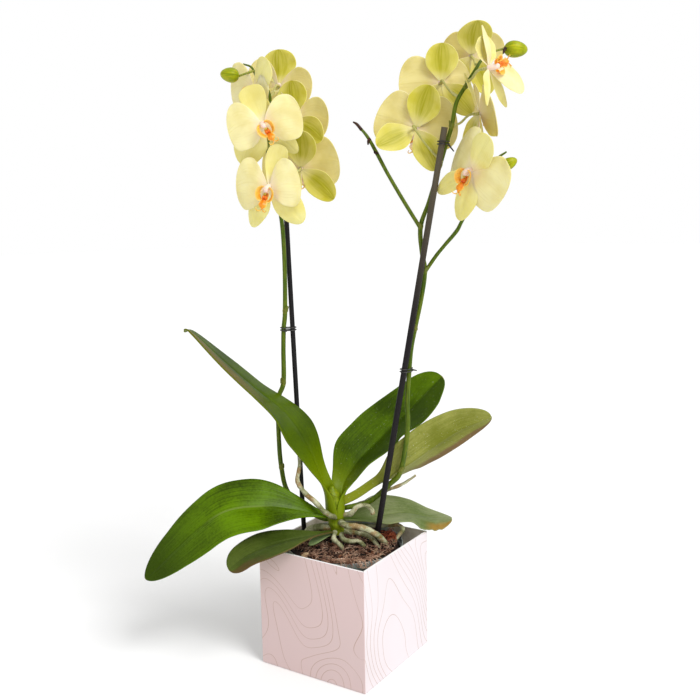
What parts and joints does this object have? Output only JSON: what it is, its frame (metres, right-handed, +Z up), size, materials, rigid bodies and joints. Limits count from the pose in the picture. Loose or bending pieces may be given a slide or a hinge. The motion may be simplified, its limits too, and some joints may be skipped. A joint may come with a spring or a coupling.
{
  "type": "potted orchid",
  "caption": "Moth orchid with forked flower spikes clipped to stakes, arching strap leaves and aerial roots, in a nursery pot inside a square card planter.",
  "frame": {"origin": "middle of the planter's underside, where the object stands", "axes": "+Z up; X and Y square to the planter's sides, with the sides seen in the picture facing -Y and +X; the plant itself is turned 33 degrees about +Z"},
  "size_m": [0.329, 0.2915, 0.6645],
  "materials": {
    "card": "matte",
    "pot_plastic": "satin",
    "bark_mix": "matte",
    "stem_green": "satin",
    "leaf_green": "satin",
    "root_silver": "matte",
    "stake_plastic": "satin",
    "clip_plastic": "satin",
    "petal_cream": "satin",
    "lip_orange": "satin",
    "bud_green": "satin"
  },
  "bodies": {
    "root": {"bud_left": "bud_green", "bud_right_low": "bud_green", "bud_right_top": "bud_green", "clip_left": "clip_plastic", "clip_right_low": "clip_plastic", "clip_right_top": "clip_plastic", "crown": "stem_green", "flower_left_1": "petal_cream", "flower_left_2": "petal_cream", "flower_left_3": "petal_cream", "flower_left_4": "petal_cream", "flower_left_5": "petal_cream", "flower_left_6": "petal_cream", "flower_right_1": "petal_cream", "flower_right_2": "petal_cream", "flower_right_3": "petal_cream", "flower_right_4": "petal_cream", "flower_right_5": "petal_cream", "flower_right_6": "petal_cream", "leaf_lower_left": "leaf_green", "leaf_lower_right": "leaf_green", "leaf_right": "leaf_green", "leaf_scale": "leaf_green", "leaf_small_left": "leaf_green", "leaf_upper_left": "leaf_green", "leaf_upper_right": "leaf_green", "lip_left_1": "lip_orange", "lip_left_2": "lip_orange", "lip_left_3": "lip_orange", "lip_left_4": "lip_orange", "lip_left_5": "lip_orange", "lip_left_6": "lip_orange", "lip_right_1": "lip_orange", "lip_right_2": "lip_orange", "lip_right_3": "lip_orange", "lip_right_4": "lip_orange", "lip_right_5": "lip_orange", "lip_right_6": "lip_orange", "nursery_pot": "pot_plastic", "planter_box": "card", "potting_mix": "bark_mix", "root_back": "root_silver", "root_dry_aerial": "root_silver", "root_front_left": "root_silver", "root_front_long": "root_silver", "root_front_right": "root_silver", "root_left_aerial": "root_silver", "root_left_back": "root_silver", "root_right_arch": "root_silver", "root_right_back": "root_silver", "root_right_loop": "root_silver", "spike_left": "stem_green", "spike_right": "stem_green", "stake_left": "stake_plastic", "stake_right": "stake_plastic"}
  },
  "joints": []
}
